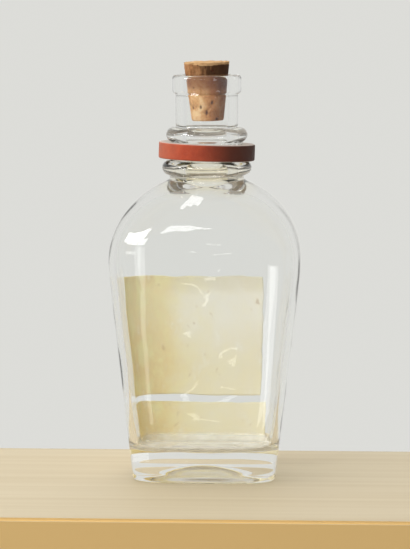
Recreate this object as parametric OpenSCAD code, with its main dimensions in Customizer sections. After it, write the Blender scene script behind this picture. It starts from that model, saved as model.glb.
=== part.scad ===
// Old clear glass flask, flattened and tapering to its foot, with a moulded finish, a
// tapered natural cork, a rubber ring in the groove of the neck and two paper labels
// glued to its back. Millimetres. The flask stands on z = 0 with its wide faces along X.
// The labels are on the +Y face, so they are read from behind and seen from the front
// through the empty bottle.

/* [Flask body] */
// Width across the foot
foot_width = 70.6; // [66:0.2:78]
// Width at the widest place, under the shoulders
widest_width = 95; // [86:0.2:104]
// Depth from front to back at the foot
foot_depth = 47; // [44:0.5:56]
// Depth from front to back at the widest place
widest_depth = 53; // [48:0.5:62]
// Height of the widest place above the table
widest_height = 108.6; // [100:0.2:114]
// Height at which the shoulders run into the neck
shoulder_top = 148.4; // [144:0.2:152]
// How far the neck stands to the right of the body's middle
neck_offset = 0.9; // [0:0.1:2]
// How full the shoulders are, 2 being an ellipse
shoulder_fullness = 2; // [1.8:0.1:3]
// How square the section is at the foot, 2 being an ellipse
foot_squareness = 5; // [4:0.1:6]
// How square the section is at the widest place
squareness = 3.2; // [2.6:0.1:4]
// Radius of the rounded heel
heel_radius = 1.5; // [1.2:0.1:2.4]
// Depth of the slight waist just above the heel
heel_pinch = 0.5; // [0:0.1:1]

/* [Glass thickness] */
// Thickness of the side walls
wall = 3; // [2.4:0.1:4]
// Thickness of the heavy base near its edge
floor_thickness = 15; // [13:0.1:17]
// Rise of the inner floor towards its middle
floor_dome = 1; // [0.4:0.1:2]
// Rise of the push-up under the foot
push_up = 7; // [4:0.2:8.6]
// Diameter of the straight bore through the neck
bore_diameter = 21.2; // [20:0.1:23]

/* [Moulded finish] */
// Diameter of the neck under the lower bead
neck_diameter = 36.4; // [34:0.2:38]
// Diameter over the lower bead
lower_bead_diameter = 44.2; // [42:0.2:46]
// Height of the middle of the lower bead
lower_bead_height = 154.3; // [153:0.1:155]
// Diameter of the groove that holds the rubber ring
groove_diameter = 35; // [34:0.2:36]
// Diameter over the upper bead
upper_bead_diameter = 40.2; // [38:0.2:43]
// Height of the middle of the upper bead
upper_bead_height = 170.5; // [170:0.1:172]
// Radius of both beads in section
bead_radius = 3.6; // [3:0.1:3.8]
// Diameter of the plain collar
collar_diameter = 30.8; // [29:0.2:33]
// Diameter of the lip band
lip_diameter = 34; // [32:0.2:36]
// Height of the lip band
lip_height = 9.2; // [8:0.2:11]
// Height of the bottle to its lip
bottle_height = 200; // [196:1:206]
// Rounding of the lip's edges
lip_rounding = 1.5; // [0.8:0.1:2]

/* [Rubber ring] */
// Outer diameter of the ring
ring_diameter = 47.4; // [46:0.2:50]
// Height of the ring
ring_height = 8.1; // [7:0.1:8.4]
// Rounding of the ring's worn edges
ring_rounding = 0.7; // [0.4:0.1:1.2]
// How far the ring's right side sits lower, in degrees
ring_roll = 1.9; // [0:0.1:2.5]

/* [Cork] */
// Diameter at the top of the cork
cork_top_diameter = 22.6; // [22:0.1:24]
// Diameter at the bottom of the cork
cork_bottom_diameter = 15.8; // [14:0.1:17]
// Length of the cork
cork_length = 29; // [26:0.5:32]
// Length of cork left above the lip
cork_proud = 6.6; // [5:0.1:9]
// How far the cork leans, in degrees
cork_lean = 1.2; // [0:0.1:1.5]

/* [Paper labels] */
// Distance of both labels' left edges from the middle of the back, round the glass
label_left = 51; // [44:0.5:53]
// Distance of the main label's right edge from the middle
main_label_right = 28.5; // [24:0.5:40]
// Distance of the lower label's right edge from the middle
lower_label_right = 33; // [24:0.5:40]
// Thickness of the paper with its glue
label_thickness = 0.25; // [0.2:0.05:0.4]
// Height of the main label's lower edge
main_label_low = 37.2; // [36:0.2:42]
// Height of the main label's upper edge
main_label_high = 97.5; // [80:0.5:100]
// Height of the lower label's lower edge
lower_label_low = 10.8; // [9:0.2:14]
// Height of the lower label's upper edge
lower_label_high = 33.9; // [24:0.3:34.5]

/* [Hidden] */

$fn = 96;
join = 0.4;

outer_sides = 64;
inner_sides = 56;
heel_steps = 4;
shoulder_steps = 15;
crease_levels = [2.6, 3.2, 3.8, 5];
body_levels = [8, 24, 40, 66, 82, 93];
taper_softness = 24;
pinch_height = 3.2;
pinch_reach = 0.9;
inner_corner = 5;
bore_top = 145;

foot_land = 5;
push_up_steps = 6;

cork_bevel = 0.8;
pore_count = 22;
pore_radius = 1.5;
pore_depth = 0.45;

label_columns = 34;
main_label_rows = 9;
lower_label_rows = 4;
label_sink = 1;
walk_steps = 135;
walk_turn = 135;

// The flask's form: half sizes of its section at a height

// Rises nearly straight from 0 at the foot to 1 at the widest place and rounds off there.
function rise(s) = (s - pow(s, taper_softness) / taper_softness) / (1 - 1 / taper_softness);

// Reach of a shoulder curve that falls from widest to top over the given height.
function reach(widest, top, height) =
    height / pow(1 - pow(top / widest, 2), 1 / shoulder_fullness);

// Half size at height z of a side that starts at foot, swells to widest and closes to top.
function side(z, foot, widest, top, top_z) =
    z <= widest_height
        ? foot + (widest - foot) * rise(max(z, 0) / widest_height)
        : widest * sqrt(1 - pow((z - widest_height)
            / reach(widest, top, top_z - widest_height), shoulder_fullness));

// The slight waist that the mould leaves above the heel.
function pinch(z) = heel_pinch * exp(-pow((z - pinch_height) / pinch_reach, 2));

// Half width and half depth of the glass at height z.
function outer_half(z) = [
    side(z, foot_width / 2, widest_width / 2, neck_diameter / 2, shoulder_top) - pinch(z),
    side(z, foot_depth / 2, widest_depth / 2, neck_diameter / 2, shoulder_top) - pinch(z)
];

// Half width and half depth of the hollow at height z.
function inner_half(z) = [
    side(z, foot_width / 2 - wall, widest_width / 2 - wall, bore_diameter / 2, bore_top),
    side(z, foot_depth / 2 - wall, widest_depth / 2 - wall, bore_diameter / 2, bore_top)
];

// Runs smoothly from 0 at the widest place to 1 just under the neck.
function turn_in(z) =
    let (s = min(1, max(0, (z - widest_height) / (shoulder_top - 4 - widest_height))))
    s * s * (3 - 2 * s);

// Squareness at height z: squarest at the foot, round at the neck.
function power_at(z) =
    z < widest_height
        ? foot_squareness + (squareness - foot_squareness) * max(z, 0) / widest_height
        : squareness - (squareness - 2) * turn_in(z);

// Point of a section at angle t, with half sizes h and squareness n.
function section_point(h, n, t) = [
    h[0] * sign(cos(t)) * pow(abs(cos(t)), 2 / n),
    h[1] * sign(sin(t)) * pow(abs(sin(t)), 2 / n)
];

// One ring of points of a loft: height z, half sizes h, squareness n.
function ring(z, h, n, sides) =
    [
        for (i = [0 : sides - 1])
            let (p = section_point(h, n, 360 * i / sides))
            [p[0] + neck_offset * turn_in(z), p[1], z]
    ];

// Solid through a stack of rings that have the same number of points.
module loft(rings) {
    sides = len(rings[0]);
    top = len(rings) - 1;
    walls = [
        for (j = [0 : top - 1])
            for (i = [0 : sides - 1])
                let (a = j * sides + i, b = j * sides + (i + 1) % sides)
                each [[a, a + sides, b], [b, a + sides, b + sides]]
    ];
    low_cap = [for (i = [0 : sides - 1]) i];
    high_cap = [for (i = [sides - 1 : -1 : 0]) top * sides + i];
    polyhedron(points = [for (r = rings) each r], faces = concat([low_cap], walls, [high_cap]));
}

// Heights of the rings up the shoulder, closer together where it turns in.
function shoulder_levels(last) = [
    for (i = [1 : shoulder_steps])
        widest_height + (last - widest_height) * sin(90 * i / shoulder_steps)
];

// Bottle

// Outside of the body, from just under the table to just inside the neck.
module outer_form() {
    heel = [
        for (i = [0 : heel_steps])
            let (t = 90 * i / heel_steps, z = heel_radius * (1 - cos(t)))
            [z, outer_half(z) - heel_radius * (1 - sin(t)) * [1, 1]]
    ];
    levels = concat(crease_levels, body_levels, [widest_height], shoulder_levels(shoulder_top + join));
    loft(concat(
        [ring(-join, heel[0][1], foot_squareness, outer_sides)],
        [for (h = heel) ring(h[0], h[1], power_at(h[0]), outer_sides)],
        [for (z = levels) ring(z, outer_half(z), power_at(z), outer_sides)]
    ));
}

// The hollow, from the domed floor to just inside the bore.
module inner_form() {
    flat = inner_half(floor_thickness) - inner_corner * [1, 1];
    dome = [
        for (u = [0.15, 0.4, 0.65, 0.85, 1])
            [floor_thickness + floor_dome * (1 - u * u) * (1 - u * u), flat * u]
    ];
    corner = [
        for (t = [22.5, 45, 67.5, 90])
            let (z = floor_thickness + inner_corner * (1 - cos(t)))
            [z, inner_half(z) - inner_corner * (1 - sin(t)) * [1, 1]]
    ];
    levels = concat(
        [for (z = body_levels) if (z > floor_thickness + inner_corner) z],
        [widest_height],
        shoulder_levels(bore_top + join)
    );
    loft(concat(
        [for (d = concat(dome, corner)) ring(d[0], d[1], power_at(d[0]), inner_sides)],
        [for (z = levels) ring(z, inner_half(z), power_at(z), inner_sides)]
    ));
}

// Shallow hollow under the foot, which leaves a flat land to stand on.
module push_up_form() {
    rim = outer_half(0) - (heel_radius + foot_land) * [1, 1];
    loft(concat(
        [ring(-join, rim, foot_squareness, outer_sides)],
        [
            for (i = [0 : push_up_steps - 1])
                let (u = i / push_up_steps)
                ring(push_up * (1 - pow(1 - u, 2)), rim * (1 - u), foot_squareness, outer_sides)
        ]
    ));
}

// Half outline of a band with rounded outer edges, from the axis out.
module band_outline(radius, low, high, rounding) {
    translate([0, low + rounding])
        square([radius, high - low - 2 * rounding]);
    translate([0, low])
        square([radius - rounding, high - low]);
    for (z = [low + rounding, high - rounding])
        translate([radius - rounding, z])
            circle(rounding);
}

// Half outline of a round bead, from the axis out.
module bead_outline(diameter, height) {
    translate([diameter / 2 - bead_radius, height])
        circle(bead_radius);
    translate([0, height - bead_radius])
        square([diameter / 2 - bead_radius, 2 * bead_radius]);
}

// Puts what is turned about the neck's own axis in its place.
module on_neck() {
    translate([neck_offset, 0, 0])
        children();
}

// Neck, two beads with the ring's groove between them, collar and lip band.
module finish() {
    rotate_extrude() {
        translate([0, bore_top - join])
            square([neck_diameter / 2, lower_bead_height - bore_top + join]);
        bead_outline(lower_bead_diameter, lower_bead_height);
        translate([0, lower_bead_height])
            square([groove_diameter / 2, upper_bead_height - lower_bead_height]);
        bead_outline(upper_bead_diameter, upper_bead_height);
        translate([0, upper_bead_height])
            square([collar_diameter / 2, bottle_height - lip_height / 2 - upper_bead_height]);
        band_outline(lip_diameter / 2, bottle_height - lip_height, bottle_height, lip_rounding);
    }
}

// Straight bore with a softened mouth.
module bore() {
    mouth = bottle_height - lip_rounding;
    translate([0, 0, bore_top - 2])
        cylinder(d = bore_diameter, h = bottle_height - bore_top + 3);
    rotate_extrude()
        difference() {
            translate([0, mouth])
                square([bore_diameter / 2 + lip_rounding, lip_rounding + 1]);
            translate([bore_diameter / 2 + lip_rounding, mouth])
                circle(lip_rounding);
        }
}

module bottle() {
    color("lightcyan", 0.45)
        difference() {
            union() {
                outer_form();
                on_neck() finish();
            }
            inner_form();
            on_neck() bore();
            push_up_form();
            translate([-widest_width, -widest_depth, -2])
                cube([2 * widest_width, 2 * widest_depth, 2]);
        }
}

// Cork

// Radius of the cork at a distance above its bottom.
function cork_radius(z) =
    (cork_bottom_diameter + (cork_top_diameter - cork_bottom_diameter) * z / cork_length) / 2;

// Tapered stopper, bevelled at both ends, with the pores that run through natural cork.
module cork_stopper() {
    bottom = bottle_height + cork_proud - cork_length;
    inner = cork_bottom_diameter / 2;
    outer = cork_top_diameter / 2;
    color("peru")
        translate([neck_offset, 0, bottle_height])
            rotate([0, -cork_lean, 0])
                translate([0, 0, bottom - bottle_height])
                    difference() {
                        rotate_extrude()
                            polygon([
                                [0, 0],
                                [inner - cork_bevel, 0],
                                [cork_radius(cork_bevel), cork_bevel],
                                [cork_radius(cork_length - cork_bevel), cork_length - cork_bevel],
                                [outer - cork_bevel, cork_length],
                                [0, cork_length]
                            ]);
                        for (i = [0 : pore_count - 1])
                            let (z = 2.5 + (cork_length - 5) * i / (pore_count - 1))
                            rotate([0, 0, 137.5 * i])
                                translate([cork_radius(z) + pore_radius - pore_depth, 0, z])
                                    sphere(pore_radius);
                    }
}

// Rubber ring

module rubber_ring() {
    middle = (lower_bead_height + upper_bead_height) / 2;
    color("sienna")
        translate([neck_offset, 0, middle])
            rotate([0, ring_roll, 0])
                rotate_extrude()
                    difference() {
                        band_outline(
                            ring_diameter / 2, -ring_height / 2, ring_height / 2, ring_rounding
                        );
                        translate([0, -ring_height])
                            square([groove_diameter / 2 - 0.1, 2 * ring_height]);
                    }
}

// Labels

// The straight stretch of the body, with the same rings as the bottle's own outside.
module glass_band() {
    levels = concat(body_levels, [widest_height]);
    loft([for (z = levels) ring(z, outer_half(z), power_at(z), outer_sides)]);
}

// Distance walked round the back of the section at height z from its middle, against angle.
function walk(z) =
    let (h = outer_half(z), n = power_at(z), step = walk_turn / walk_steps)
    [
        for (
            i = 0, far = 0;
            i <= walk_steps;
            i = i + 1,
            far = far + norm(section_point(h, n, 90 - i * step) - section_point(h, n, 90 - (i - 1) * step))
        )
        [far, 90 - i * step]
    ];

// Point of the back at distance s from its middle and height z, moved out by grow.
function back_point(s, z, table, grow) =
    let (t = lookup(abs(s), table), p = section_point(outer_half(z) + grow * [1, 1], power_at(z), t))
    [sign(s) * p[0], p[1], z];

// A sheet glued to the back between two heights: a thick blank less the glass it lies on.
module label(right, low, high, rows) {
    columns = label_columns;
    tables = [for (j = [0 : rows]) walk(low + (high - low) * j / rows)];
    function sheet(grow) = [
        for (j = [0 : rows])
            for (i = [0 : columns])
                back_point(
                    (label_left + right) * i / columns - label_left,
                    low + (high - low) * j / rows,
                    tables[j],
                    grow
                )
    ];
    wide = columns + 1;
    back = wide * (rows + 1);
    function quad(a, b, c, d) = [[a, b, c], [a, c, d]];
    faces = [
        for (j = [0 : rows - 1])
            for (i = [0 : columns - 1])
                let (a = j * wide + i)
                each concat(
                    quad(a, a + wide, a + wide + 1, a + 1),
                    quad(back + a, back + a + 1, back + a + wide + 1, back + a + wide)
                ),
        for (i = [0 : columns - 1])
            let (a = rows * wide + i)
            each concat(
                quad(i, i + 1, back + i + 1, back + i),
                quad(a, back + a, back + a + 1, a + 1)
            ),
        for (j = [0 : rows - 1])
            let (a = j * wide, b = j * wide + columns)
            each concat(
                quad(a, back + a, back + a + wide, a + wide),
                quad(b, b + wide, back + b + wide, back + b)
            )
    ];
    difference() {
        polyhedron(points = concat(sheet(-label_sink), sheet(label_thickness)), faces = faces);
        glass_band();
    }
}

module main_label() {
    color("cornsilk")
        label(main_label_right, main_label_low, main_label_high, main_label_rows);
}

module lower_label() {
    color("wheat")
        label(lower_label_right, lower_label_low, lower_label_high, lower_label_rows);
}

bottle();
cork_stopper();
rubber_ring();
main_label();
lower_label();
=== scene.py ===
# %% [markdown]
# # An old corked glass flask, dressed for the camera
#
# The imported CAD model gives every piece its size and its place. This script keeps that frame
# and rebuilds the surfaces that a camera looks at: the glass with its soft moulded edges, the
# crumbling cork, the perished rubber ring and the yellowed labels on the back. Lengths in the
# recipe are millimetres, as on the drawing, and MM turns them into Blender's metres.

# %% Load the frame
import math

import bmesh
import bpy
import numpy as np
from mathutils import Matrix, Quaternion, Vector, noise


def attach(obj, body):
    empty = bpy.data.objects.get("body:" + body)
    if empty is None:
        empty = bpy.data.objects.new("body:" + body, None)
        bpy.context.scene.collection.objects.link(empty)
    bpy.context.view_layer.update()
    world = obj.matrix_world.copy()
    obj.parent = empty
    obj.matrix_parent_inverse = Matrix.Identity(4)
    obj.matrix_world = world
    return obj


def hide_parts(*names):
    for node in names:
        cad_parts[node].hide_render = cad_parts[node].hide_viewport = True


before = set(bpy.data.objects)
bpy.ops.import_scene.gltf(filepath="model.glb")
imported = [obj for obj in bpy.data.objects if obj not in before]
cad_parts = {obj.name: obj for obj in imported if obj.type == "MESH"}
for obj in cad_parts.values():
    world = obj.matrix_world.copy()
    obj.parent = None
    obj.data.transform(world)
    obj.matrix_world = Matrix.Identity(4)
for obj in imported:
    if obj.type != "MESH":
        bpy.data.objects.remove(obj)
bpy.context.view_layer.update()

MM = 0.001
FLASK, STOPPER = "flask", "stopper"

# %% [markdown]
# ## The camera
#
# The flask was photographed from about a metre and a half away with a long lens, a little
# above its lip and turned a few degrees, so that its right end is nearer. A camera could be
# aimed with a constraint, but plain numbers are easier to check against the picture: the
# horizontal distance, the height above the table, the tilt and the turn round the flask.

# %% Camera
IMAGE_W, IMAGE_H = 410, 549
SENSOR = 36.0
focal_px = 3077.0
distance, eye_height = 1515 * MM, 271 * MM
tilt_down, turn = math.radians(6.40), math.radians(3.0)
axis_px = 205.0

camera = bpy.data.objects.new("camera", bpy.data.cameras.new("camera"))
bpy.context.collection.objects.link(camera)
camera.data.sensor_width = SENSOR
camera.data.lens = focal_px / IMAGE_H * SENSOR
camera.location = (distance * math.sin(turn), -distance * math.cos(turn), eye_height)
camera.rotation_euler = (math.radians(90) - tilt_down, 0, turn)
camera.data.shift_x = (IMAGE_W / 2 - axis_px) / IMAGE_H
camera.data.clip_end = 30
bpy.context.scene.camera = camera
print("lens, mm:", round(camera.data.lens, 1))

# %% [markdown]
# ## The form of the flask
#
# The body has a rounded-square section that grows from the foot to the shoulders and turns
# round as it closes to the neck. The CAD source says this with two short rules, one for the
# half sizes at a height and one for the squareness, and the same rules are repeated here with
# the same values, because the visible glass must stay where the CAD glass is.

# %% Driving sizes
foot_half = np.array([70.6, 47.0]) / 2
widest_half = np.array([95.0, 53.0]) / 2
widest_z, shoulder_top, fullness = 108.6, 148.4, 2.0
foot_squareness, squareness, neck_offset, taper_softness = 5.0, 3.2, 0.9, 24
heel_radius, heel_pinch, pinch_z, pinch_reach = 1.5, 0.5, 3.2, 0.9
wall, floor_z, floor_dome, inner_corner = 3.0, 15.0, 1.0, 5.0
push_up, foot_land = 7.0, 5.0
bore_r, bore_top = 10.6, 145.0
neck_r, groove_r, collar_r, lip_r = 18.2, 17.5, 15.4, 17.0
bead_r = 3.6
lower_bead, upper_bead = (22.1, 154.3), (20.1, 170.5)
lip_z, lip_height, lip_rounding = 200.0, 9.2, 1.5


def side(z, foot, widest, top, top_z):
    """Half size at height z of a side that swells from foot to widest and closes to top."""
    if z <= widest_z:
        s = max(z, 0) / widest_z
        rise = (s - s**taper_softness / taper_softness) / (1 - 1 / taper_softness)
        return foot + (widest - foot) * rise
    reach = (top_z - widest_z) / (1 - (top / widest) ** 2) ** (1 / fullness)
    return widest * math.sqrt(max(0, 1 - ((z - widest_z) / reach) ** fullness))


def turn_in(z):
    """0 at the widest place, running smoothly to 1 just under the neck."""
    s = min(1, max(0, (z - widest_z) / (shoulder_top - 4 - widest_z)))
    return s * s * (3 - 2 * s)


def power_at(z):
    """Squareness of the section at height z: squarest at the foot, round at the neck."""
    if z < widest_z:
        return foot_squareness + (squareness - foot_squareness) * max(z, 0) / widest_z
    return squareness - (squareness - 2) * turn_in(z)


def outer_half(z):
    pinch = heel_pinch * math.exp(-(((z - pinch_z) / pinch_reach) ** 2))
    return np.array(
        [side(z, foot_half[i], widest_half[i], neck_r, shoulder_top) - pinch for i in (0, 1)]
    )


def inner_half(z):
    return np.array(
        [side(z, foot_half[i] - wall, widest_half[i] - wall, bore_r, bore_top) for i in (0, 1)]
    )


def section(half, power, count):
    """A closed rounded-square outline with its points evenly spaced along it, from +X round."""
    t = np.linspace(0, 2 * math.pi, 1441)
    c, s = np.cos(t), np.sin(t)
    x = half[0] * np.sign(c) * np.abs(c) ** (2 / power)
    y = half[1] * np.sign(s) * np.abs(s) ** (2 / power)
    walked = np.concatenate([[0], np.cumsum(np.hypot(np.diff(x), np.diff(y)))])
    at = np.linspace(0, walked[-1], count, endpoint=False)
    return np.column_stack([np.interp(at, walked, x), np.interp(at, walked, y)])


print("half sizes at the widest place, mm:", outer_half(widest_z).round(2))

# %% [markdown]
# ## Helpers for meshes
#
# Every piece ends as a plain mesh whose object sits at the origin. A grid of points that
# closes round one way is the form that most of them share.

# %% Mesh helpers
def add_mesh(name, points, faces, smooth=True):
    mesh = bpy.data.meshes.new(name)
    mesh.from_pydata([tuple(p) for p in points], [], [tuple(f) for f in faces])
    mesh.validate()
    if smooth:
        mesh.shade_smooth()
    piece = bpy.data.objects.new(name, mesh)
    bpy.context.collection.objects.link(piece)
    return piece


def tube_faces(rings, sides):
    """Faces between stacked closed rings, and a fan to the pole after each end ring."""
    faces = []
    for j in range(rings - 1):
        for i in range(sides):
            k = (i + 1) % sides
            faces.append((j * sides + i, j * sides + k, (j + 1) * sides + k, (j + 1) * sides + i))
    first, last = rings * sides, rings * sides + 1
    for i in range(sides):
        k = (i + 1) % sides
        faces.append((first, k, i))
        faces.append((last, (rings - 1) * sides + i, (rings - 1) * sides + k))
    return faces


def finish_piece(piece, body, node, material):
    """Gives a piece its material and its place in the frame."""
    piece.data.materials.clear()
    piece.data.materials.append(material)
    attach(piece, body)
    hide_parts(node)
    print(piece.name, "faces:", len(piece.data.polygons))


# %% [markdown]
# ## The glass
#
# A bottle is one closed skin: it runs from the push-up under the foot, up the outside, over
# the lip, down the bore and across the floor inside. It could be cut from solids with
# booleans, but refraction shows every flaw of such a mesh. Here one line of stations is
# walked the whole way, softened a little as fire-polished glass is, and each station
# becomes a ring of points.

# %% Stations along the skin
def arc(centre_r, centre_z, radius, start, end, steps=14):
    return [
        (centre_r + radius * math.cos(a), centre_z + radius * math.sin(a))
        for a in np.radians(np.linspace(start, end, steps))
    ]


def meet(bead, r):
    """How many degrees from level the bead's round is where it meets a wall of radius r."""
    return math.degrees(math.acos((r - (bead[0] - bead_r)) / bead_r))


def finish_line():
    """Radius and height along the outside of the finish, the lip and the bore, going up."""
    low, high = lower_bead, upper_bead
    band = lip_z - lip_height
    line = [(neck_r, shoulder_top)]
    line += arc(low[0] - bead_r, low[1], bead_r, -meet(low, neck_r), meet(low, groove_r))
    line += arc(high[0] - bead_r, high[1], bead_r, -meet(high, groove_r), meet(high, collar_r))
    line += [(collar_r, band)]
    line += arc(lip_r - lip_rounding, band + lip_rounding, lip_rounding, -90, 0, 8)
    line += arc(lip_r - lip_rounding, lip_z - lip_rounding, lip_rounding, 0, 90, 8)
    line += arc(bore_r + lip_rounding, lip_z - lip_rounding, lip_rounding, 90, 180, 8)
    return line + [(bore_r, bore_top)]


STEP, NECK_ROOT = 0.25, 146.6


def stations():
    """Rows of z, half width, half depth, squareness and turn-in along the whole skin."""
    rows = []
    rim = outer_half(0) - heel_radius - foot_land
    for u in np.linspace(0.04, 1, 14):
        rows.append((push_up * (1 - u * u), *(rim * u), foot_squareness, 0))
    for a in np.radians(np.linspace(0, 90, 8)):
        z = heel_radius * (1 - math.cos(a))
        rows.append((z, *(outer_half(z) - heel_radius * (1 - math.sin(a))), power_at(z), 0))
    for z in [*np.arange(heel_radius + 0.5, 9, 0.5), *np.linspace(9, shoulder_top, 150)[:-1]]:
        rows.append((z, *outer_half(z), power_at(z), turn_in(z)))
    rows += [(z, r, r, 2, 1) for r, z in finish_line()]
    for z in np.linspace(bore_top, floor_z + inner_corner, 140)[1:]:
        rows.append((z, *inner_half(z), power_at(z), turn_in(z)))
    for a in np.radians(np.linspace(90, 0, 8))[1:]:
        z = floor_z + inner_corner * (1 - math.cos(a))
        rows.append((z, *(inner_half(z) - inner_corner * (1 - math.sin(a))), power_at(z), 0))
    flat = inner_half(floor_z) - inner_corner
    for u in np.linspace(1, 0.04, 14)[1:]:
        rows.append((floor_z + floor_dome * (1 - u * u) ** 2, *(flat * u), power_at(floor_z), 0))
    return np.array(rows, float)


def smoothed(rows, reach):
    """Rows at even steps of arc, averaged over a bell this wide."""
    half = int(3 * reach / STEP)
    kernel = np.exp(-0.5 * (np.arange(-half, half + 1) * STEP / reach) ** 2)
    padded = np.pad(rows, ((half, half), (0, 0)), mode="edge")
    return np.column_stack([np.convolve(c, kernel / kernel.sum(), "valid") for c in padded.T])


def soften(rows):
    """Walks the rows in even steps and rounds their corners, most of all at the neck's root."""
    walked = np.concatenate([[0], np.cumsum(np.hypot(np.diff(rows[:, 0]), np.diff(rows[:, 1])))])
    keep = np.concatenate([[True], np.diff(walked) > 1e-9])
    at = np.arange(0, walked[-1], STEP)
    even = np.column_stack([np.interp(at, walked[keep], column[keep]) for column in rows.T])
    root = np.exp(-(((even[:, :1] - NECK_ROOT) / 2.6) ** 2))
    return (1 - root) * smoothed(even, 0.5) + root * smoothed(even, 1.3)


skin = soften(stations())
print("stations along the skin:", len(skin))

# %% [markdown]
# Old glass was blown into its mould, so its surfaces are never quite true: the outside has a
# faint ripple and the inside, which touched nothing, wanders more. That is what bends the
# edges of the labels and breaks the reflections. A bump map would do for the reflections
# only, so the ripple is put in the mesh.

# %% Ripple of blown glass
def ripple(x, y, z, amount, scale, shift=0.0):
    """A smooth wandering of the surface in mm, at a place in mm."""
    p = Vector((x + shift, y - shift, z)) / scale
    return amount * (noise.noise(p) + 0.4 * noise.noise(2.3 * p))


OUTSIDE = dict(amount=0.10, scale=34.0)
INSIDE = dict(amount=0.32, scale=27.0, shift=200.0)


def glass_mesh(sides=168):
    top = int(np.argmax(skin[:, 0]))
    kept = [0]
    for j in range(1, len(skin)):
        near_finish = skin[j, 0] > 143 or skin[j, 0] < 21
        gap = 0.6 if near_finish and not (j > top and 150 < skin[j, 0] < 196) else 2.4
        walked = np.hypot(skin[j, 0] - skin[kept[-1], 0], skin[j, 1] - skin[kept[-1], 1])
        if walked >= gap:
            kept.append(j)
    points, bloom = [], []
    for j in kept:
        z, a, b, power, turned = skin[j]
        inside = j > top
        settled = min(1, max(0, (19.5 - z) / 2.5)) if inside else 0
        bloom += [settled * settled * (3 - 2 * settled)] * sides
        for x, y in section((a, b), power, sides):
            grow = ripple(x, y, z, **(INSIDE if inside else OUTSIDE))
            size = max(math.hypot(x, y), 1e-6)
            fade = min(1, size / 12) * (0.35 if turned > 0.99 else 1)
            out = 1 + fade * grow / size
            points.append((MM * (x * out + neck_offset * turned), MM * y * out, MM * z))
    points.append((0, 0, MM * skin[0, 0]))
    points.append((0, 0, MM * skin[-1, 0]))
    return points, tube_faces(len(kept), sides), bloom + [0, 1]


glass_points, glass_faces, glass_bloom = glass_mesh()
flask = add_mesh("flask_glass", glass_points, glass_faces)
flask.data.attributes.new("bloom", "FLOAT", "POINT").data.foreach_set("value", glass_bloom)
bm = bmesh.new()
bm.from_mesh(flask.data)
bmesh.ops.recalc_face_normals(bm, faces=bm.faces)
bm.to_mesh(flask.data)
bm.free()

# %% [markdown]
# ### Node helpers for the finishes
#
# Every finish is a node material on Object coordinates, so a pattern keeps its real size and
# stays on its piece. These helpers keep the recipes short.

# %% Material helpers
def new_material(name):
    material = bpy.data.materials.new(name)
    material.use_nodes = True
    nodes = material.node_tree.nodes
    shader = nodes["Principled BSDF"]
    return material, nodes, material.node_tree.links, shader


def place(nodes, links, scale=(1, 1, 1), turn_by=(0, 0, 0)):
    """Object coordinates in millimetres, stretched and turned for a pattern."""
    coordinates = nodes.new("ShaderNodeTexCoord")
    mapping = nodes.new("ShaderNodeMapping")
    mapping.inputs["Scale"].default_value = [s / MM for s in scale]
    mapping.inputs["Rotation"].default_value = turn_by
    links.new(coordinates.outputs["Object"], mapping.inputs["Vector"])
    return mapping.outputs["Vector"]


def cloud(nodes, links, vector, size, detail=4.0, rough=0.55, twist=0.0):
    """Soft noise whose blobs are about this many millimetres across."""
    node = nodes.new("ShaderNodeTexNoise")
    node.inputs["Scale"].default_value = 1 / size
    node.inputs["Detail"].default_value = detail
    node.inputs["Roughness"].default_value = rough
    node.inputs["Distortion"].default_value = twist
    links.new(vector, node.inputs["Vector"])
    return node.outputs["Fac"]


def ramp(nodes, links, value, stops):
    """Colours or greys along a value; a stop is (place, colour)."""
    node = nodes.new("ShaderNodeValToRGB")
    elements = node.color_ramp.elements
    while len(elements) < len(stops):
        elements.new(0.5)
    for element, (at, colour) in zip(elements, stops):
        element.position = at
        element.color = (*colour, 1) if len(colour) == 3 else colour
    links.new(value, node.inputs["Fac"])
    return node.outputs["Color"]


def grey(v):
    return (v, v, v)


def math_node(nodes, links, kind, a, b=0.5):
    node = nodes.new("ShaderNodeMath")
    node.operation = kind
    for socket, value in zip(node.inputs, (a, b)):
        if isinstance(value, (int, float)):
            socket.default_value = value
        else:
            links.new(value, socket)
    return node.outputs["Value"]


def blend_colour(nodes, links, factor, a, b, kind="MIX"):
    node = nodes.new("ShaderNodeMix")
    node.data_type = "RGBA"
    node.blend_type = kind
    if isinstance(factor, (int, float)):
        node.inputs[0].default_value = factor
    else:
        links.new(factor, node.inputs[0])
    for socket, value in ((node.inputs[6], a), (node.inputs[7], b)):
        if isinstance(value, tuple):
            socket.default_value = (*value, 1)
        else:
            links.new(value, socket)
    return node.outputs[2]


def bump(nodes, links, height, shader, depth, strength=1.0):
    """Fine relief; depth is in millimetres."""
    node = nodes.new("ShaderNodeBump")
    node.inputs["Distance"].default_value = depth * MM
    node.inputs["Strength"].default_value = strength
    links.new(height, node.inputs["Height"])
    links.new(node.outputs["Normal"], shader.inputs["Normal"])
    return node
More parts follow.
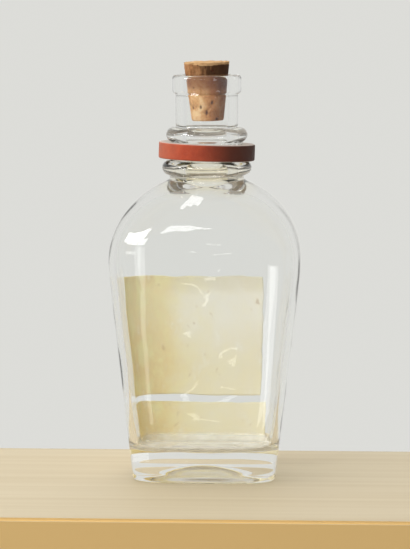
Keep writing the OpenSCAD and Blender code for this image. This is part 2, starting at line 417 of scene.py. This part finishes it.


# %% [markdown]
# ### Clear glass
#
# Thick soda glass with a breath of grey-green. Most of its look is refraction, so the
# shader's own transmission and index do the work. A light path switch lets lamps shine
# through it, as they do through a real bottle, so that the cork and the labels behind the
# glass are lit. Faint smears roughen the reflections, and an amber band painted round the lower bead
# stands in for the labels and board seen refracted there.

# %% Glass material
def clear_glass():
    material, nodes, links, shader = new_material("clear_glass")
    shader.inputs["Transmission Weight"].default_value = 1.0
    shader.inputs["IOR"].default_value = 1.5
    vector = place(nodes, links)
    height = nodes.new("ShaderNodeSeparateXYZ")
    links.new(vector, height.inputs["Vector"])
    # The amber band at the lower bead is a painted reflection: it copies the yellow of the labels and
    # board refracted through the bead.
    clear, painted_refraction_amber = (0.985, 0.990, 0.984), (0.975, 0.935, 0.80)
    level = math_node(nodes, links, "MULTIPLY", height.outputs["Z"], 1 / 200)
    tint_with_painted_band = ramp(
        nodes, links, level, [(0.72, clear), (0.745, painted_refraction_amber), (0.765, painted_refraction_amber), (0.785, clear)]
    )
    links.new(tint_with_painted_band, shader.inputs["Base Color"])
    smears = cloud(nodes, links, vector, 9.0, detail=5, twist=1.2)
    links.new(
        ramp(nodes, links, smears, [(0.5, grey(0.0)), (0.8, grey(0.05))]),
        shader.inputs["Roughness"],
    )
    bump(nodes, links, cloud(nodes, links, vector, 14.0, detail=1), shader, 0.05)
    bloom = nodes.new("ShaderNodeAttribute")
    bloom.attribute_name = "bloom"
    dried = ramp(nodes, links, cloud(nodes, links, vector, 6.0), [(0.3, grey(0.3)), (0.7, grey(0.5))])
    deposit = math_node(nodes, links, "MULTIPLY", bloom.outputs["Fac"], dried)
    links.new(math_node(nodes, links, "SUBTRACT", 1.0, deposit), shader.inputs["Transmission Weight"])
    open_to_lamps = nodes.new("ShaderNodeBsdfTransparent")
    slant = nodes.new("ShaderNodeLayerWeight")
    slant.inputs["Blend"].default_value = 0.5
    links.new(
        ramp(
            nodes, links, slant.outputs["Facing"],
            [(0.45, (0.965, 0.97, 0.965)), (0.75, (0.80, 0.80, 0.79)), (1.0, (0.25, 0.25, 0.24))],
        ),
        open_to_lamps.inputs["Color"],
    )
    path = nodes.new("ShaderNodeLightPath")
    surface = shader.outputs["BSDF"]
    for ray in ("Is Diffuse Ray", "Is Shadow Ray"):
        mix = nodes.new("ShaderNodeMixShader")
        links.new(path.outputs[ray], mix.inputs["Fac"])
        links.new(surface, mix.inputs[1])
        links.new(open_to_lamps.outputs["BSDF"], mix.inputs[2])
        surface = mix.outputs["Shader"]
    links.new(surface, nodes["Material Output"].inputs["Surface"])
    return material


finish_piece(flask, FLASK, "bottle", clear_glass())

# %% [markdown]
# ## The labels
#
# Two sheets of old paper are glued to the back of the flask. They follow the glass round its
# corners, and their edges have worn wavy. Each is a thin closed sheet laid on the same
# section rule as the glass. Its glued face lies a hair inside the glass, because glue
# leaves no air between the two: that is why the paper shows bright and close through the
# bottle.

# %% Label sheets
paper_thickness, glue_depth = 0.22, 0.04
labels = {
    "main_label": dict(left=-51.0, right=28.5, low=37.2, high=97.5, rows=72),
    "lower_label": dict(left=-51.0, right=33.0, low=10.8, high=33.9, rows=34),
}


def back_point(s, z, grow):
    """Point of the flask's back, in mm, at a distance s round from its middle."""
    half = outer_half(z)
    power = power_at(z)
    t = np.radians(np.arange(90, -45.5, -0.5))
    x = half[0] * np.abs(np.cos(t)) ** (2 / power)
    y = half[1] * np.sign(np.sin(t)) * np.abs(np.sin(t)) ** (2 / power)
    walked = np.concatenate([[0], np.cumsum(np.hypot(np.diff(x), np.diff(y)))])
    px, py = np.interp(abs(s), walked, x) * math.copysign(1, s), np.interp(abs(s), walked, y)
    nx = (abs(px) / half[0]) ** (power - 1) / half[0]
    ny = math.copysign((abs(py) / half[1]) ** (power - 1) / half[1], py)
    size = math.hypot(nx, ny)
    swell = ripple(px, py, z, **OUTSIDE) + grow
    return px + math.copysign(nx, px) / size * swell, py + ny / size * swell


def worn_edge(along, length, seed):
    """How far a worn edge wanders in or out, in mm."""
    p = Vector((along / length, seed, 0.5))
    return noise.noise(p) + 0.5 * noise.noise(3.1 * p)


def label_sheet(name, left, right, low, high, rows, columns=110):
    seed = low
    fronts, backs = [], []
    for j in range(rows + 1):
        v = j / rows
        for i in range(columns + 1):
            u = i / columns - 0.5
            s0, z0 = left + (right - left) * (u + 0.5), low + (high - low) * v
            near_side = max(0, abs(2 * u) * 6 - 5)
            near_end = max(0, abs(2 * v - 1) * 6 - 5)
            s = s0 + near_side * 1.1 * worn_edge(z0, 13.0, seed + math.copysign(3, u))
            z = z0 + near_end * 0.5 * worn_edge(s0, 17.0, seed + math.copysign(7, v - 0.5))
            cockle = 0.05 * noise.noise(Vector((s0, z0, seed)) / 3.0)
            x, y = back_point(s, z, -glue_depth)
            fronts.append((MM * x, MM * y, MM * z))
            x, y = back_point(s, z, paper_thickness - glue_depth + cockle)
            backs.append((MM * x, MM * y, MM * z))
    wide, count = columns + 1, len(fronts)
    faces = []
    for j in range(rows):
        for i in range(columns):
            a = j * wide + i
            faces.append((a, a + 1, a + wide + 1, a + wide))
            faces.append((count + a, count + a + wide, count + a + wide + 1, count + a + 1))
    rim = [i for i in range(wide)]
    rim += [j * wide + columns for j in range(1, rows + 1)]
    rim += [rows * wide + i for i in range(columns - 1, -1, -1)]
    rim += [j * wide for j in range(rows - 1, 0, -1)]
    for a, b in zip(rim, rim[1:] + rim[:1]):
        faces.append((b, a, count + a, count + b))
    return add_mesh(name, fronts + backs, faces)


# %% [markdown]
# ### Aged paper
#
# Rag paper yellows where glue and damp reached it. The left half has gone ochre and the
# middle has stayed cream, so a broad ramp across the sheet is broken up with clouds, and fine
# specks and fibres are laid over it.

# %% Paper material
def aged_paper():
    material, nodes, links, shader = new_material("aged_paper")
    vector = place(nodes, links)
    across = nodes.new("ShaderNodeSeparateXYZ")
    links.new(vector, across.inputs["Vector"])
    stain = cloud(nodes, links, vector, 22.0, detail=5, twist=0.6)
    drift = math_node(nodes, links, "MULTIPLY_ADD", stain, 34.0)
    drift.node.inputs[2].default_value = -17.0
    reach = math_node(nodes, links, "ADD", across.outputs["X"], drift)
    left_to_right = math_node(nodes, links, "MULTIPLY_ADD", reach, 1 / 76)
    left_to_right.node.inputs[2].default_value = 0.5
    tone = ramp(
        nodes, links, left_to_right,
        [
            (0.0, (0.84, 0.71, 0.45)),
            (0.22, (0.84, 0.72, 0.47)),
            (0.38, (0.86, 0.80, 0.65)),
            (0.55, (0.87, 0.83, 0.72)),
            (0.8, (0.87, 0.82, 0.71)),
            (1.0, (0.87, 0.83, 0.71)),
        ],
    )
    damp = math_node(nodes, links, "MULTIPLY_ADD", stain, 16.0)
    damp.node.inputs[2].default_value = -8.0
    level = math_node(nodes, links, "ADD", across.outputs["Z"], damp)
    level = math_node(nodes, links, "MULTIPLY", level, 0.01)
    tide = ramp(
        nodes, links, level,
        [
            (0.0, (0.98, 0.95, 0.84)),
            (0.34, (0.99, 0.95, 0.83)),
            (0.50, (0.95, 0.92, 0.82)),
            (0.66, (0.97, 0.95, 0.90)),
            (0.76, (1.0, 1.0, 1.0)),
            (0.89, (1.0, 1.0, 1.0)),
            (0.93, (0.92, 0.91, 0.88)),
            (0.98, (0.87, 0.86, 0.81)),
        ],
    )
    tone = blend_colour(nodes, links, 1.0, tone, tide, "MULTIPLY")
    left_side = ramp(nodes, links, left_to_right, [(0.1, grey(0.8)), (0.5, grey(0.12))])
    mottle = cloud(nodes, links, place(nodes, links, scale=(1, 1, 0.7)), 8.0, detail=6, rough=0.65)
    greenish = ramp(nodes, links, mottle, [(0.45, grey(0.0)), (0.62, grey(0.9))])
    greenish = math_node(nodes, links, "MULTIPLY", greenish, left_side)
    tone = blend_colour(nodes, links, greenish, tone, (0.86, 0.80, 0.50))
    lightened = ramp(nodes, links, mottle, [(0.28, grey(0.55)), (0.42, grey(0.0))])
    tone = blend_colour(nodes, links, lightened, tone, (0.90, 0.87, 0.78))
    fibres = cloud(nodes, links, place(nodes, links, scale=(1, 1, 3.2)), 1.1, detail=6)
    tone = blend_colour(
        nodes, links, 0.35, tone,
        ramp(nodes, links, fibres, [(0.3, grey(0.42)), (0.7, grey(0.62))]), "OVERLAY",
    )
    foxing = cloud(nodes, links, vector, 3.4, detail=3, twist=0.4)
    spots = ramp(nodes, links, foxing, [(0.66, grey(0.0)), (0.78, grey(0.55))])
    tone = blend_colour(nodes, links, spots, tone, (0.42, 0.27, 0.12))
    links.new(tone, shader.inputs["Base Color"])
    shader.inputs["Roughness"].default_value = 0.88
    shader.inputs["Subsurface Weight"].default_value = 1.0
    shader.inputs["Subsurface Radius"].default_value = (1.0, 1.0, 1.0)
    shader.inputs["Subsurface Scale"].default_value = 0.5 * MM
    bump(nodes, links, fibres, shader, 0.05)
    return material


paper = aged_paper()
for node, form in labels.items():
    sheet = label_sheet(node + "_paper", **form)
    finish_piece(sheet, FLASK, node, paper)

# %% [markdown]
# ## The cork
#
# A tapered stopper is ground from one piece of bark, so its pores run through it as dark
# pits, and an old one crumbles round its top edge. The blank is a turned shape with enough
# points to take real pits: each point knows how deep it lies in a pore, and the material
# darkens by the same amount, so that colour and relief agree.

# %% Cork form
cork_top_r, cork_low_r, cork_length, cork_proud = 11.3, 7.9, 29.0, 6.6
cork_lean, cork_bevel = math.radians(1.2), 0.8
pores_seen = [
    (-18, 6.9, 2.4, 1.2), (17, 9.2, 2.9, 1.4), (0, 4.2, 3.0, 1.4), (-47, 6.4, 1.7, 1.0),
    (-21, 27.3, 1.0, 1.1), (18, 24.7, 1.5, 1.7), (30, 13.5, 1.6, 1.0), (-60, 11.5, 1.4, 0.9),
    (36, 0.9, 2.2, 2.4), (24, 23.4, 0.9, 1.5), (-34, 16.4, 1.2, 0.8),
]
rng = np.random.default_rng(11)
pores = pores_seen + [
    (rng.uniform(75, 285), rng.uniform(2, 27), rng.uniform(0.8, 2.4), rng.uniform(0.5, 1.1))
    for _ in range(26)
]


def pore_depth_at(angle, height, radius):
    """0 on sound cork and up to 1 in the middle of a pore; the angle is from the front."""
    deep = 0.0
    for at, level, long, wide in pores:
        across = (angle - at + 180) % 360 - 180
        d = math.hypot(math.radians(across) * radius / (wide / 2), (height - level) / (long / 2))
        if d < 1.6:
            deep = max(deep, math.exp(-2.2 * d**3))
    return deep


def cork_mesh(sides=200):
    outline = [(cork_low_r * u, 0.0) for u in np.linspace(0.03, 0.9, 16)]
    outline += [(cork_low_r - 0.4, 0.1), (cork_low_r - 0.1, 0.4)]
    for h in np.linspace(cork_bevel, cork_length - 0.4, 100):
        outline.append((cork_low_r + (cork_top_r - cork_low_r) * h / cork_length, h))
    outline += [(cork_top_r - 0.25, cork_length - 0.08)]
    outline += [(cork_top_r * u, cork_length) for u in np.linspace(0.95, 0.03, 30)]
    points, depth = [], []
    lip_level = cork_length - cork_proud
    for r, h in outline:
        for i in range(sides):
            a = 2 * math.pi * i / sides
            p = Vector((r * math.cos(a), r * math.sin(a), h))
            rough = 0.10 * noise.noise(p / 1.1) + 0.10 * noise.noise(p / 0.45)
            deep = pore_depth_at(math.degrees(a) + 90, h, r) if r > 0.8 * cork_low_r else 0
            on_top = h > cork_length - 0.3
            rim = max(0, 1 - abs(h - cork_length) / 2.2) if r > cork_top_r - 1.2 else 0
            crumble = rim * max(0, noise.noise(p / 2.1 + Vector((0, 0, 5)))) * 1.5
            inward = 0.75 * deep + crumble - rough
            if h < lip_level + 0.5:
                inward = max(inward, 0.08)
            flat = max(r - inward, 0) if r > 0.9 * cork_low_r else r
            sink = 0.0
            if on_top:
                sink = 0.28 + 0.45 * noise.noise(p / 2.6) + 0.3 * noise.noise(p / 0.8)
                sink = max(0, sink) + crumble
            points.append((flat * math.cos(a), flat * math.sin(a), h - sink))
            depth.append(min(1, deep + 0.3 * crumble))
    points += [(0, 0, 0), (0, 0, cork_length - 0.3)]
    depth += [0, 0]
    return points, tube_faces(len(outline), sides), depth


def to_seat(points):
    """Puts points drawn from the cork's bottom up into the neck, leaning a little."""
    seat = (
        Matrix.Translation((neck_offset, 0, lip_z))
        @ Matrix.Rotation(-cork_lean, 4, "Y")
        @ Matrix.Translation((0, 0, cork_proud - cork_length))
    )
    return [MM * (seat @ Vector(p)) for p in points]


cork_points, cork_faces, cork_depth = cork_mesh()
cork = add_mesh("cork_bark", to_seat(cork_points), cork_faces)
cork.data.attributes.new("pore", "FLOAT", "POINT").data.foreach_set("value", cork_depth)
print("deepest pore value:", round(max(cork_depth), 2))

# %% [markdown]
# ### Bark
#
# Cork is honey-coloured where it is freshly cut and brown where it stands out of the neck. Its right
# side and a band under the glass lip are darkened with painted shade. Fine grain runs through it, and
# the pores are filled with dark dust.

# %% Cork material
def natural_cork():
    material, nodes, links, shader = new_material("natural_cork")
    vector = place(nodes, links)
    patches = cloud(nodes, links, vector, 4.5, detail=6, rough=0.6, twist=0.5)
    tone = ramp(
        nodes, links, patches,
        [(0.25, (0.26, 0.105, 0.038)), (0.5, (0.47, 0.22, 0.09)), (0.75, (0.64, 0.36, 0.17))],
    )
    grain = cloud(nodes, links, place(nodes, links, scale=(1, 1, 2.4)), 0.7, detail=6, rough=0.7)
    tone = blend_colour(
        nodes, links, 0.6, tone,
        ramp(nodes, links, grain, [(0.3, grey(0.3)), (0.7, grey(0.7))]), "OVERLAY",
    )
    height = nodes.new("ShaderNodeSeparateXYZ")
    links.new(vector, height.inputs["Vector"])
    fresh = math_node(nodes, links, "GREATER_THAN", height.outputs["Z"], lip_z + cork_proud - 1.0)
    geometry = nodes.new("ShaderNodeNewGeometry")
    facing = nodes.new("ShaderNodeSeparateXYZ")
    links.new(geometry.outputs["Normal"], facing.inputs["Vector"])
    up = math_node(nodes, links, "MULTIPLY", facing.outputs["Z"], fresh)
    tone = blend_colour(nodes, links, up, tone, (0.66, 0.46, 0.26))
    lip_line = math_node(nodes, links, "SUBTRACT", height.outputs["Z"], lip_z - 0.5)
    proud = ramp(nodes, links, lip_line, [(0.0, grey(0.0)), (1.0, grey(1.0))])
    held = ramp(
        nodes, links, patches,
        [(0.25, (0.40, 0.19, 0.085)), (0.45, (0.80, 0.47, 0.22)), (0.62, (0.98, 0.72, 0.44))],
    )
    held = blend_colour(
        nodes, links, 0.7, held,
        ramp(nodes, links, grain, [(0.3, grey(0.25)), (0.7, grey(0.72))]), "OVERLAY",
    )
    # Painted shade: the cork inside the neck turns dark brown in the band just under the glass lip.
    painted_under_lip_shade = ramp(
        nodes, links, math_node(nodes, links, "MULTIPLY", height.outputs["Z"], 1 / 200),
        [(0.86, (1.0, 0.93, 0.88)), (0.92, (1.0, 0.95, 0.86)), (0.955, (1.0, 0.90, 0.74)),
         (0.972, (0.46, 0.31, 0.21)), (0.995, (0.34, 0.20, 0.12))],
    )
    held = blend_colour(nodes, links, 1.0, held, painted_under_lip_shade, "MULTIPLY")
    # Painted shade: the cork inside the neck darkens towards its right side, away from the lamps on
    # the left.
    shade = math_node(nodes, links, "MULTIPLY_ADD", height.outputs["X"], 1 / 24)
    shade.node.inputs[2].default_value = 0.5
    held = blend_colour(
        nodes, links, 1.0, held,
        ramp(
            nodes, links, shade,
            [(0.42, grey(1.0)), (0.66, (0.72, 0.54, 0.42)), (0.82, (0.36, 0.25, 0.19))],
        ),
        "MULTIPLY",
    )
    tone = blend_colour(nodes, links, proud, held, tone)
    # Painted shade: the proud sides darken to near black towards the right, away from the lamps,
    # broken up by vertical streaks.
    streaks = cloud(nodes, links, place(nodes, links, scale=(1, 1, 0.12)), 1.5, detail=4, rough=0.7)
    lit_to_shaded = math_node(nodes, links, "MULTIPLY_ADD", height.outputs["X"], 1 / 24)
    links.new(streaks, lit_to_shaded.node.inputs[2])
    painted_side_shade = ramp(nodes, links, lit_to_shaded, [(0.15, grey(0.0)), (0.36, grey(0.42)), (0.58, grey(0.92)), (0.9, grey(0.95))])
    sides_only = math_node(nodes, links, "SUBTRACT", proud, up)
    painted_side_shade = math_node(nodes, links, "MULTIPLY", painted_side_shade, sides_only)
    tone = blend_colour(nodes, links, painted_side_shade, tone, (0.045, 0.018, 0.007))
    chipped = math_node(nodes, links, "MULTIPLY_ADD", patches, 2.6)
    chipped.node.inputs[2].default_value = -(lip_z + cork_proud - 0.3)
    chipped = math_node(nodes, links, "ADD", height.outputs["Z"], chipped)
    fresh_rim = ramp(nodes, links, chipped, [(0.0, grey(0.0)), (0.5, grey(0.85))])
    tone = blend_colour(nodes, links, fresh_rim, tone, (0.66, 0.40, 0.19))
    pore = nodes.new("ShaderNodeAttribute")
    pore.attribute_name = "pore"
    tone = blend_colour(nodes, links, pore.outputs["Fac"], tone, (0.085, 0.022, 0.010))
    links.new(tone, shader.inputs["Base Color"])
    shader.inputs["Roughness"].default_value = 0.9
    shader.inputs["Specular IOR Level"].default_value = 0.25
    bump(nodes, links, grain, shader, 0.16)
    return material


finish_piece(cork, STOPPER, "cork_stopper", natural_cork())

# %% [markdown]
# ## The rubber ring
#
# A flat band of red rubber sits in the groove between the beads, stiff with age and a little
# askew. A ring follows a rule exactly: a profile carried round a circle. So Geometry Nodes
# make it, with its sizes as named inputs, and a little noise gives it its worn edges.

# %% Ring by Geometry Nodes
ring_sizes = {"Radius": 20.55, "Width": 6.3, "Height": 8.1, "Rounding": 0.7, "Wear": 0.16}
ring_middle = (lower_bead[1] + upper_bead[1]) / 2
ring_roll, ring_nod = math.radians(1.9), math.radians(1.0)


def ring_tree(material):
    tree = bpy.data.node_groups.new("band_round_neck", "GeometryNodeTree")
    face = tree.interface
    for name in ring_sizes:
        face.new_socket(name, in_out="INPUT", socket_type="NodeSocketFloat")
    face.new_socket("Geometry", in_out="OUTPUT", socket_type="NodeSocketGeometry")
    add, link = tree.nodes.new, tree.links.new
    sizes, out = add("NodeGroupInput"), add("NodeGroupOutput")
    circle = add("GeometryNodeCurvePrimitiveCircle")
    circle.inputs["Resolution"].default_value = 220
    link(sizes.outputs["Radius"], circle.inputs["Radius"])
    profile = add("GeometryNodeCurvePrimitiveQuadrilateral")
    link(sizes.outputs["Width"], profile.inputs["Width"])
    link(sizes.outputs["Height"], profile.inputs["Height"])
    corner = add("GeometryNodeFilletCurve")
    corner.mode = "POLY"
    corner.inputs["Count"].default_value = 5
    link(profile.outputs["Curve"], corner.inputs["Curve"])
    link(sizes.outputs["Rounding"], corner.inputs["Radius"])
    even = add("GeometryNodeResampleCurve")
    even.inputs["Count"].default_value = 72
    link(corner.outputs["Curve"], even.inputs["Curve"])
    sweep = add("GeometryNodeCurveToMesh")
    link(circle.outputs["Curve"], sweep.inputs["Curve"])
    link(even.outputs["Curve"], sweep.inputs["Profile Curve"])
    wobble = add("ShaderNodeTexNoise")
    wobble.inputs["Scale"].default_value = 0.35
    wobble.inputs["Detail"].default_value = 4.0
    centred = add("ShaderNodeVectorMath")
    centred.operation = "SUBTRACT"
    centred.inputs[1].default_value = (0.5, 0.5, 0.5)
    link(wobble.outputs["Color"], centred.inputs[0])
    amount = add("ShaderNodeVectorMath")
    amount.operation = "SCALE"
    link(centred.outputs["Vector"], amount.inputs[0])
    link(sizes.outputs["Wear"], amount.inputs["Scale"])
    move = add("GeometryNodeSetPosition")
    link(sweep.outputs["Mesh"], move.inputs["Geometry"])
    link(amount.outputs["Vector"], move.inputs["Offset"])
    smooth = add("GeometryNodeSetShadeSmooth")
    link(move.outputs["Geometry"], smooth.inputs["Geometry"])
    real = add("GeometryNodeRealizeInstances")
    link(smooth.outputs["Geometry"], real.inputs["Geometry"])
    paint = add("GeometryNodeSetMaterial")
    paint.inputs["Material"].default_value = material
    link(real.outputs["Geometry"], paint.inputs["Geometry"])
    link(paint.outputs["Geometry"], out.inputs["Geometry"])
    return tree


def grow_mesh(name, tree, sizes, placing):
    """Runs a tree with these sizes, in mm, and keeps the result as a plain mesh in metres."""
    seed = add_mesh(name + "_seed", [], [])
    modifier = seed.modifiers.new(name, "NODES")
    modifier.node_group = tree
    sockets = {s.name: s.identifier for s in tree.interface.items_tree if s.in_out == "INPUT"}
    for label, value in sizes.items():
        modifier[sockets[label]] = value
    ready = seed.evaluated_get(bpy.context.evaluated_depsgraph_get())
    mesh = bpy.data.meshes.new_from_object(ready)
    mesh.name = name
    mesh.transform(Matrix.Scale(MM, 4) @ placing)
    seed.modifiers.remove(modifier)
    bpy.data.objects.remove(seed)
    piece = bpy.data.objects.new(name, mesh)
    bpy.context.collection.objects.link(piece)
    return piece


# %% [markdown]
# ### Red rubber
#
# Perished rubber is matt and dusty: brick red, with fine cracks and a bloom that lifts its roughness.
# Its left end is lightened with painted light, its right end darkened with painted shade, and its
# flat faces are lightened, partly dust and partly painted light.

# %% Rubber material
def red_rubber():
    material, nodes, links, shader = new_material("red_rubber")
    vector = place(nodes, links)
    patches = cloud(nodes, links, vector, 5.0, detail=5)
    tone = ramp(
        nodes, links, patches,
        [(0.3, (0.40, 0.056, 0.022)), (0.55, (0.50, 0.078, 0.030)), (0.8, (0.56, 0.115, 0.055))],
    )
    dust = cloud(nodes, links, vector, 0.8, detail=6, rough=0.7)
    tone = blend_colour(
        nodes, links, ramp(nodes, links, dust, [(0.5, grey(0.0)), (0.75, grey(0.16))]),
        tone, (0.50, 0.26, 0.18),
    )
    across = nodes.new("ShaderNodeSeparateXYZ")
    links.new(vector, across.inputs["Vector"])
    lit_to_shaded = math_node(nodes, links, "MULTIPLY_ADD", across.outputs["X"], 1 / 48)
    lit_to_shaded.node.inputs[2].default_value = 0.5
    # Painted light: the ring's left end, towards the lamps, is lightened.
    lightened = ramp(nodes, links, lit_to_shaded, [(0.02, grey(0.45)), (0.3, grey(0.0))])
    tone = blend_colour(nodes, links, lightened, tone, (0.52, 0.22, 0.14))
    # Painted shade: the ring darkens to near black towards its right end, away from the lamps.
    painted_shade_right_end = ramp(
        nodes, links, lit_to_shaded,
        [(0.30, grey(0.0)), (0.42, grey(0.14)), (0.52, grey(0.32)), (0.64, grey(0.60)), (0.78, grey(0.86)), (1.0, grey(0.96))],
    )
    tone = blend_colour(nodes, links, painted_shade_right_end, tone, (0.042, 0.018, 0.012))
    geometry = nodes.new("ShaderNodeNewGeometry")
    facing = nodes.new("ShaderNodeSeparateXYZ")
    links.new(geometry.outputs["Normal"], facing.inputs["Vector"])
    flat_face = math_node(nodes, links, "ABSOLUTE", facing.outputs["Z"], 0.0)
    # The flat top and underside are lightened: dust on top, and painted light underneath, where the
    # ring's own shade falls.
    flat_face_dust_and_light = ramp(nodes, links, flat_face, [(0.55, grey(0.0)), (0.85, grey(0.9))])
    tone = blend_colour(nodes, links, flat_face_dust_and_light, tone, (0.55, 0.46, 0.40))
    from_axis = nodes.new("ShaderNodeVectorMath")
    from_axis.operation = "LENGTH"
    flat = nodes.new("ShaderNodeCombineXYZ")
    links.new(across.outputs["X"], flat.inputs["X"])
    links.new(across.outputs["Y"], flat.inputs["Y"])
    links.new(flat.outputs["Vector"], from_axis.inputs[0])
    hidden = math_node(nodes, links, "LESS_THAN", from_axis.outputs["Value"], 20.0)
    tone = blend_colour(nodes, links, hidden, tone, (0.46, 0.42, 0.37))
    links.new(tone, shader.inputs["Base Color"])
    links.new(
        ramp(nodes, links, patches, [(0.3, grey(0.55)), (0.8, grey(0.8))]),
        shader.inputs["Roughness"],
    )
    shader.inputs["Specular IOR Level"].default_value = 0.25
    bump(nodes, links, dust, shader, 0.08)
    return material


rubber = red_rubber()
ring_place = (
    Matrix.Translation((neck_offset, 0, ring_middle))
    @ Matrix.Rotation(ring_roll, 4, "Y")
    @ Matrix.Rotation(-ring_nod, 4, "X")
)
ring = grow_mesh("rubber_band", ring_tree(rubber), ring_sizes, ring_place)
finish_piece(ring, FLASK, "rubber_ring", rubber)

# %% [markdown]
# ## Floor, room and lamps
#
# The flask stands on a pale board that ends a hand's breadth behind it, in front of a light
# wall. Glass shows whatever is round it, so the room matters as much as the lamps: the wall
# is pale, the room is dimmer to the sides and behind the camera, and one big window lights
# everything from the left.

# %% Floor
floor_back, floor_half, floor_front, floor_thick = 0.078, 0.9, -0.116, 0.02


def board():
    bm = bmesh.new()
    bmesh.ops.create_cube(bm, size=1)
    size = (2 * floor_half, floor_back - floor_front, floor_thick)
    bmesh.ops.scale(bm, vec=size, verts=bm.verts)
    middle = (0, (floor_back + floor_front) / 2, -floor_thick / 2)
    bmesh.ops.translate(bm, vec=middle, verts=bm.verts)
    bmesh.ops.bevel(bm, geom=bm.edges[:], offset=0.0015, segments=3, affect="EDGES")
    mesh = bpy.data.meshes.new("floor")
    bm.to_mesh(mesh)
    bm.free()
    floor = bpy.data.objects.new("floor", mesh)
    bpy.context.collection.objects.link(floor)
    material, nodes, links, shader = new_material("pale_floor")
    grain = cloud(nodes, links, place(nodes, links, scale=(0.02, 1, 1)), 9.0, detail=4)
    tone = ramp(nodes, links, grain, [(0.3, (0.58, 0.475, 0.305)), (0.7, (0.65, 0.555, 0.385))])
    geometry, facing = nodes.new("ShaderNodeNewGeometry"), nodes.new("ShaderNodeSeparateXYZ")
    links.new(geometry.outputs["Normal"], facing.inputs["Vector"])
    # Painted light: the board's front face gets a warmer, brighter colour than its top, standing in
    # for light from the front.
    front_face_painted_light = math_node(nodes, links, "LESS_THAN", facing.outputs["Y"], -0.7)
    tone = blend_colour(nodes, links, front_face_painted_light, tone, (0.76, 0.50, 0.19))
    links.new(tone, shader.inputs["Base Color"])
    shader.inputs["Roughness"].default_value = 0.6
    mesh.materials.append(material)
    return floor


board()

# %% Room
def room():
    world = bpy.data.worlds.new("room")
    bpy.context.scene.world = world
    world.use_nodes = True
    nodes, links = world.node_tree.nodes, world.node_tree.links
    coordinates = nodes.new("ShaderNodeTexCoord")
    split = nodes.new("ShaderNodeSeparateXYZ")
    links.new(coordinates.outputs["Generated"], split.inputs["Vector"])
    level = nodes.new("ShaderNodeMapRange")
    level.inputs["From Min"].default_value = -1
    links.new(split.outputs["Y"], level.inputs["Value"])
    def walls(front, side):
        pale = (0.72, 0.72, 0.69)
        stops = [(0.0, grey(front)), (0.5, grey(side)), (0.85, pale), (1.0, pale)]
        return ramp(nodes, links, level.outputs["Result"], stops)

    seen, lights = nodes["Background"], nodes.new("ShaderNodeBackground")
    links.new(walls(0.60, 0.64), seen.inputs["Color"])
    links.new(walls(0.16, 0.14), lights.inputs["Color"])
    path = nodes.new("ShaderNodeLightPath")
    mix = nodes.new("ShaderNodeMixShader")
    links.new(path.outputs["Is Diffuse Ray"], mix.inputs["Fac"])
    links.new(seen.outputs["Background"], mix.inputs[1])
    links.new(lights.outputs["Background"], mix.inputs[2])
    links.new(mix.outputs["Shader"], nodes["World Output"].inputs["Surface"])


room()

# %% Lamps
def window(name, at, look_at, size, watts, roll=0.0, seen=True):
    """A plain area lamp; roll, in degrees, lifts its left end as the flask sees it."""
    lamp = bpy.data.lights.new(name, "AREA")
    lamp.shape = "RECTANGLE"
    lamp.size, lamp.size_y = size
    lamp.energy = watts
    holder = bpy.data.objects.new(name, lamp)
    bpy.context.collection.objects.link(holder)
    holder.location = at
    holder.visible_camera = False
    holder.visible_glossy = holder.visible_transmission = seen
    aim = (Vector(look_at) - Vector(at)).to_track_quat("-Z", "Y")
    holder.rotation_euler = (aim @ Quaternion((0, 0, 1), math.radians(roll))).to_euler()
    return holder


def toward(azimuth, rise, reach):
    """A place seen from the flask at an azimuth (negative to the left) and a rise, in degrees."""
    a, e = math.radians(azimuth), math.radians(rise)
    return (
        reach * math.cos(e) * math.sin(a),
        -reach * math.cos(e) * math.cos(a),
        0.11 + reach * math.sin(e),
    )


middle = (0, 0, 0.11)
for number, azimuth in enumerate((-74, -60, -46)):
    window(f"upper_pane_{number}", toward(azimuth, 26, 1.4), middle, (0.29, 0.22), 2.9)
for number in (-1, 0, 1):
    at = toward(-15.4 + 6.6 * number, 34.6 - 1.9 * number, 1.8)
    window(f"front_pane_{number + 1}", at, middle, (0.176, 0.20), 0.85, roll=-35)
window("lower_pane", toward(-58, 9, 1.4), middle, (0.30, 0.10), 0.3)
window("low_gleam", toward(-3, -9, 1.5), middle, (0.045, 0.010), 0.005)
window("skylight", (-0.3, -0.1, 1.5), middle, (1.0, 0.8), 11, seen=False)
window("bright_sill", toward(42, -12, 1.2), middle, (0.34, 0.34), 1.1)
window("wall_glow", (0, 1.3, 0.35), middle, (1.6, 1.0), 7, seen=False)
window("room_fill", toward(-8, 6, 2.2), middle, (1.6, 1.2), 13, seen=False)

bpy.context.scene.view_settings.view_transform = "Standard"
